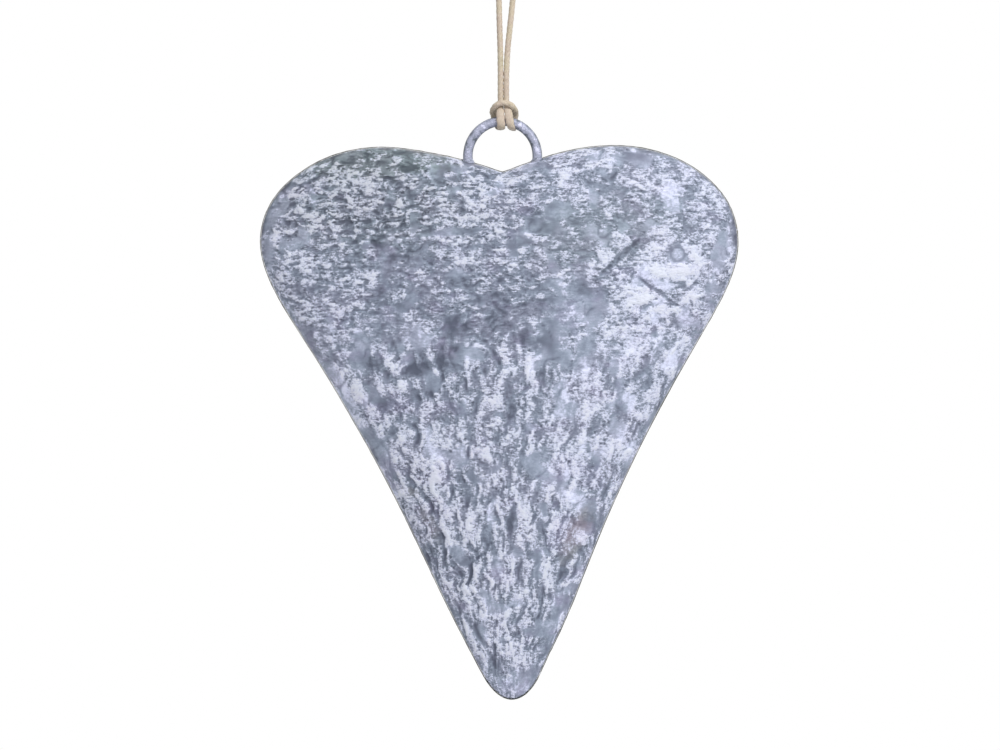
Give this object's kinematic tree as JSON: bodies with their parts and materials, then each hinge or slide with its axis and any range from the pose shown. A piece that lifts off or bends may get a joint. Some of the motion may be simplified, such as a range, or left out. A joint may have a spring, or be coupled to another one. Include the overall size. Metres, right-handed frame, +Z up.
{
  "type": "hanging metal heart ornament",
  "caption": "Puffed heart ornament of hammered sheet-metal shells, with a wire ring in its cleft, hung by a knotted cord in a lark's head hitch.",
  "frame": {"origin": "the inside top of the cord loop, just under its knot, where a nail or hook carries the ornament", "axes": "+Z up, +X to the viewer's right, -Y towards the viewer, along the nail"},
  "size_m": [0.1287, 0.022, 0.2257],
  "materials": {
    "whitewashed_sheet": "hammered grey-blue zinc with pale lavender-white paint rubbed over the raised parts",
    "seam_solder": "dull dark grey with brown tarnish",
    "whitewashed_wire": "grey-blue zinc with rubbed pale paint",
    "waxed_cotton": "beige waxed cotton cord"
  },
  "bodies": {
    "cord": {"cord_leg_left": "waxed_cotton", "cord_leg_right": "waxed_cotton", "cord_knot": "waxed_cotton"},
    "hitch": {"cord_hitch": "waxed_cotton"},
    "heart": {"front_shell": "whitewashed_sheet", "back_shell": "whitewashed_sheet", "seam_bead": "seam_solder", "hanging_ring": "whitewashed_wire", "ring_weld_left": "seam_solder", "ring_weld_right": "seam_solder"}
  },
  "joints": [
    {"name": "swing", "type": "hinge", "parent": "cord", "child": "hitch", "pos_m": [0, 0, -0.04855], "axis": [1, 0, 0], "range_deg": [-75, 75]},
    {"name": "ring_slide", "type": "hinge", "parent": "hitch", "child": "heart", "pos_m": [0, 0, -0.06445], "axis": [0, 1, 0], "range_deg": [-55, 55]}
  ]
}
